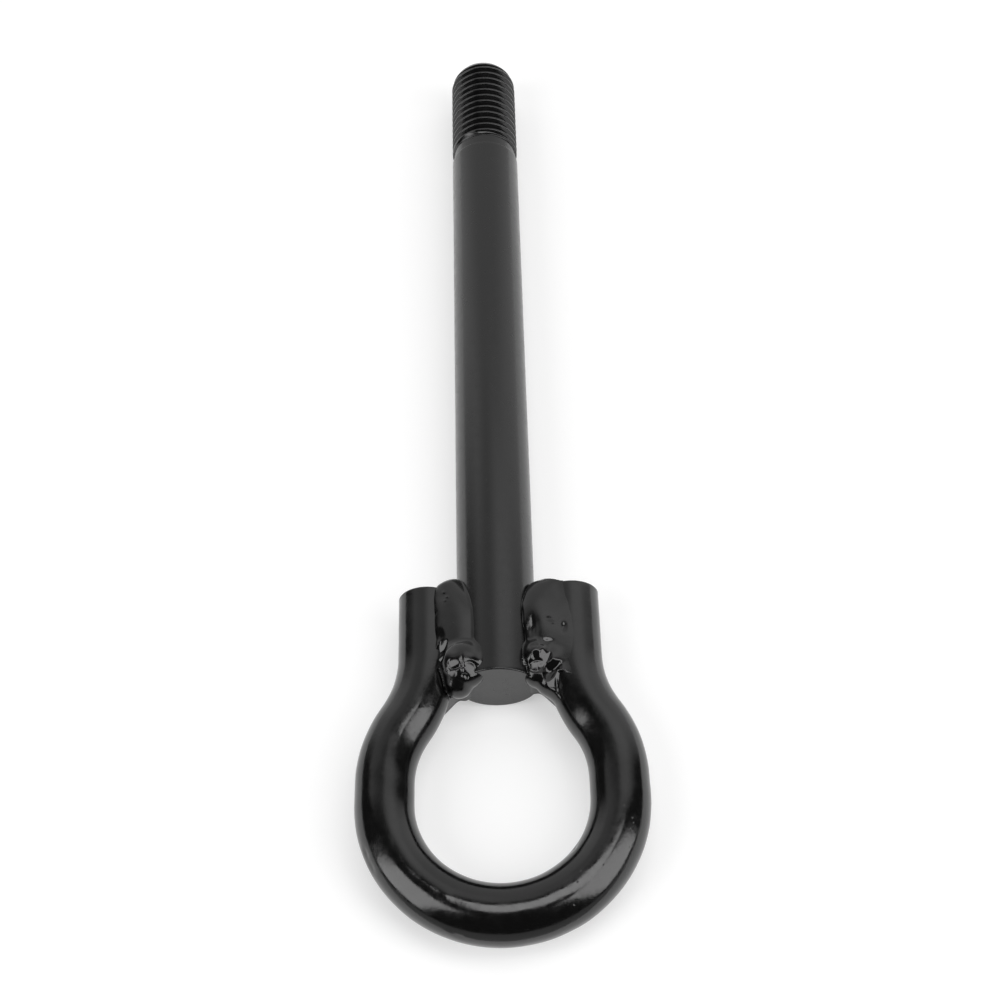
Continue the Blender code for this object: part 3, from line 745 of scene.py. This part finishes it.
def stage_mesh(name, points, faces, material):
    """Sheet or box of the studio from its corners and faces, kept out of the object."""
    mesh = bpy.data.meshes.new(name)
    mesh.from_pydata(points, [], faces)
    mesh.materials.append(material)
    sheet = bpy.data.objects.new(name, mesh)
    bpy.context.scene.collection.objects.link(sheet)
    return sheet


def shown_rays(tree):
    """1 for rays from the camera, off gloss and through glass, which all meet the white
    surroundings, and 0 for the rays that only carry light."""
    path = add_node(tree, "ShaderNodeLightPath")
    shiny = add_node(tree, "ShaderNodeMath",
                     {0: path.outputs["Is Glossy Ray"], 1: path.outputs["Is Transmission Ray"]},
                     operation="MAXIMUM")
    return add_node(tree, "ShaderNodeMath", {0: path.outputs["Is Camera Ray"], 1: shiny.outputs[0]},
                    operation="MAXIMUM").outputs[0]


def table_laminate():
    """White laminate table top, which keeps the hook's soft shadow.

    Where it shows, part of its white is a glow of its own, and all of it is beyond
    TABLE_WHITE_BEYOND, where the lamps no longer reach.
    """
    material = bpy.data.materials.new("white_table_laminate")
    material.use_nodes = True
    tree = material.node_tree
    tree.nodes.clear()
    lit = add_node(tree, "ShaderNodeBsdfDiffuse", {"Color": srgb("#f0f0f0")})
    seen_lit = add_node(tree, "ShaderNodeBsdfDiffuse", {"Color": srgb("#d0d0d0")})
    seen_glow = add_node(tree, "ShaderNodeEmission", {"Color": srgb("#ffffff"), "Strength": 0.45})
    near = add_node(tree, "ShaderNodeAddShader", {0: seen_lit.outputs[0], 1: seen_glow.outputs[0]})
    place = add_node(tree, "ShaderNodeTexCoord").outputs["Object"]
    away = add_node(tree, "ShaderNodeVectorMath", {0: place}, operation="LENGTH").outputs["Value"]
    far = add_node(tree, "ShaderNodeMapRange",
                   {"Value": away, "From Min": TABLE_LIT_WITHIN, "From Max": TABLE_WHITE_BEYOND},
                   interpolation_type="SMOOTHSTEP")
    white = add_node(tree, "ShaderNodeEmission", {"Color": srgb("#ffffff"), "Strength": 1.0})
    seen = add_node(tree, "ShaderNodeMixShader",
                    {0: far.outputs["Result"], 1: near.outputs[0], 2: white.outputs[0]})
    surface = add_node(tree, "ShaderNodeMixShader",
                       {0: shown_rays(tree), 1: lit.outputs[0], 2: seen.outputs[0]})
    add_node(tree, "ShaderNodeOutputMaterial", {"Surface": surface.outputs[0]})
    return material


def backdrop():
    """White paper behind the hook whose uneven lamp light is a painted glow of its own, and that only the
    paint shows.

    Low down its glow is least in the middle and fades out on the left. Higher up it is weak
    on the left and strong on the right, and fades towards the top and the right edge.
    """
    x = np.linspace(-BACKDROP_EDGE, BACKDROP_EDGE, 63)[None, :]
    z = np.linspace(0.001, BACKDROP_TOP, 47)[:, None]
    away = np.abs(x)
    right = ease(-0.13, 0.15, x)
    low = 0.67 + 0.20 * ease(0.08, 0.26, away)
    low = low * np.where(x < 0, 1 - 0.95 * ease(0.22, 0.58, away), 1)
    high = 0.52 + 0.50 * right
    glow = low + (high - low) * ease(0.28, 0.42, z)
    glow = glow * np.where(x > 0, 1 - 0.8 * ease(0.30, 0.72, away), 1)
    glow = glow * (1 - (0.80 - 0.50 * right) * ease(0.52, 0.86, z))
    points = np.stack(np.broadcast_arrays(x, BACKDROP_Y, z), axis=-1).reshape(-1, 3)
    here = np.arange(z.size * x.size).reshape(z.size, x.size)
    faces = np.stack([here[:-1, :-1], here[:-1, 1:], here[1:, 1:], here[1:, :-1]], axis=-1)
    material = bpy.data.materials.new("backdrop_paper_painted_glow")
    material.use_nodes = True
    tree = material.node_tree
    tree.nodes.clear()
    # The glow read here is painted lamp light, brighter and darker by place on the sheet.
    lit = add_node(tree, "ShaderNodeAttribute", attribute_name="glow")
    shine = add_node(tree, "ShaderNodeEmission", {"Color": srgb("#ffffff"), "Strength": lit.outputs["Fac"]})
    add_node(tree, "ShaderNodeOutputMaterial", {"Surface": shine.outputs[0]})
    sheet = stage_mesh("backdrop", points.tolist(), faces.reshape(-1, 4).tolist(), material)
    sheet.data.attributes.new("glow", "FLOAT", "POINT").data.foreach_set("value", glow.ravel())
    sheet.visible_camera = False
    sheet.visible_shadow = False


def plain_glow(name, colour):
    """Cloth or card with a dim painted glow of its own, in place of the stray light that would reach it."""
    material = bpy.data.materials.new(name)
    material.use_nodes = True
    tree = material.node_tree
    material.cycles.emission_sampling = "NONE"
    tree.nodes.clear()
    shine = add_node(tree, "ShaderNodeEmission", {"Color": srgb(colour), "Strength": 1.0})
    add_node(tree, "ShaderNodeOutputMaterial", {"Surface": shine.outputs[0]})
    return material


def level_square(far_y):
    """Corners (x, y) of the table, or of its part up to far_y."""
    half = TABLE_HALF
    return [(-half, -half), (half, -half), (half, far_y), (-half, far_y)]


def make_room():
    """Dark walls and ceiling far round the table, and a grey runner that covers the table from just below
    the picture's edge, all shining with a painted glow of their own instead of lamp light. They show in the
    paint and not to the camera."""
    corners = [(x, y, z) for z in (0.0, ROOM_TOP) for x, y in level_square(TABLE_HALF)]
    walls = [(0, 1, 5, 4), (1, 2, 6, 5), (2, 3, 7, 6), (3, 0, 4, 7), (4, 5, 6, 7)]
    # Walls and ceiling shine with a dim painted glow, not with light from the lamps.
    room = stage_mesh("dark_room", corners, walls, plain_glow("dark_studio_cloth_painted_glow", ROOM_GREY))
    room.visible_camera = False
    # The runner is a grey painted glow that makes the table's reflection darker in front; it shows only in
    # the paint.
    runner = [(x, y, RUNNER_THICK) for x, y in level_square(RUNNER_Y)]
    cloth = stage_mesh("grey_runner", runner, [(0, 1, 2, 3)], plain_glow("grey_runner_painted_glow", "#b0b0b0"))
    cloth.visible_camera = False
    cloth.visible_shadow = False
    cloth.visible_diffuse = False


def make_studio():
    """White table, a white backdrop with painted lamp light glowing on it, two tall softboxes, one
    overhead, and a dim room with a painted glow.
    """
    corners = [(x, y, 0) for x, y in level_square(TABLE_HALF)]
    stage_mesh("floor", corners, [(0, 1, 2, 3)], table_laminate())
    backdrop()
    make_room()
    for box in SOFTBOXES:
        softbox(*box)
    world = bpy.data.worlds.new("studio_room")
    bpy.context.scene.world = world
    world.use_nodes = True
    tree = world.node_tree
    tree.nodes.clear()
    room = add_node(tree, "ShaderNodeMix", {0: shown_rays(tree), 6: srgb(ROOM_GREY), 7: srgb("#ffffff")},
                    data_type="RGBA")
    glow = add_node(tree, "ShaderNodeBackground", {"Color": room.outputs[2], "Strength": 1.0})
    add_node(tree, "ShaderNodeOutputWorld", {"Surface": glow.outputs["Background"]})


def make_camera():
    """The photograph's own view, fitted to the object's outline in it."""
    data = bpy.data.cameras.new("camera")
    data.sensor_width = 36
    data.lens = CAMERA_LENS
    data.clip_start, data.clip_end = 0.01, 10
    camera = bpy.data.objects.new("camera", data)
    bpy.context.scene.collection.objects.link(camera)
    camera.location = CAMERA_PLACE
    camera.rotation_euler = [math.radians(a) for a in CAMERA_TURN]
    bpy.context.scene.camera = camera


def dress(piece, node, material):
    """Put a piece on the one rigid body in place of its CAD solid."""
    piece.data.materials.append(material)
    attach(piece, "root")
    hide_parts(node)


bar_paint = stoving_paint("black_stoving_paint_on_drawn_bar", 1.6, 0.004, 0.004, 0.17, SHANK_MARKS)
bend_paint = stoving_paint("black_stoving_paint_on_bent_bar", 1.4, 0.006, 0.014, 0.13, RING_MARKS)
weld_paint = stoving_paint("black_stoving_paint_on_weld", 1.1, 0.005, 0.008, 0.13)

dress(make_shank(), "threaded_shank", bar_paint)
dress(make_eye(), "eye_bar", bend_paint)
dress(upper_bead("upper_left_weld_paint", LEFT, LEFT_LUMPS, 21), "weld_upper_left", weld_paint)
dress(upper_bead("upper_right_weld_paint", RIGHT, RIGHT_LUMPS, 31), "weld_upper_right", weld_paint)
dress(lower_bead("lower_left_weld_paint", LEFT, 41), "weld_lower_left", weld_paint)
dress(lower_bead("lower_right_weld_paint", RIGHT, 51), "weld_lower_right", weld_paint)

make_studio()
make_camera()
bpy.context.scene.view_settings.view_transform = "Standard"
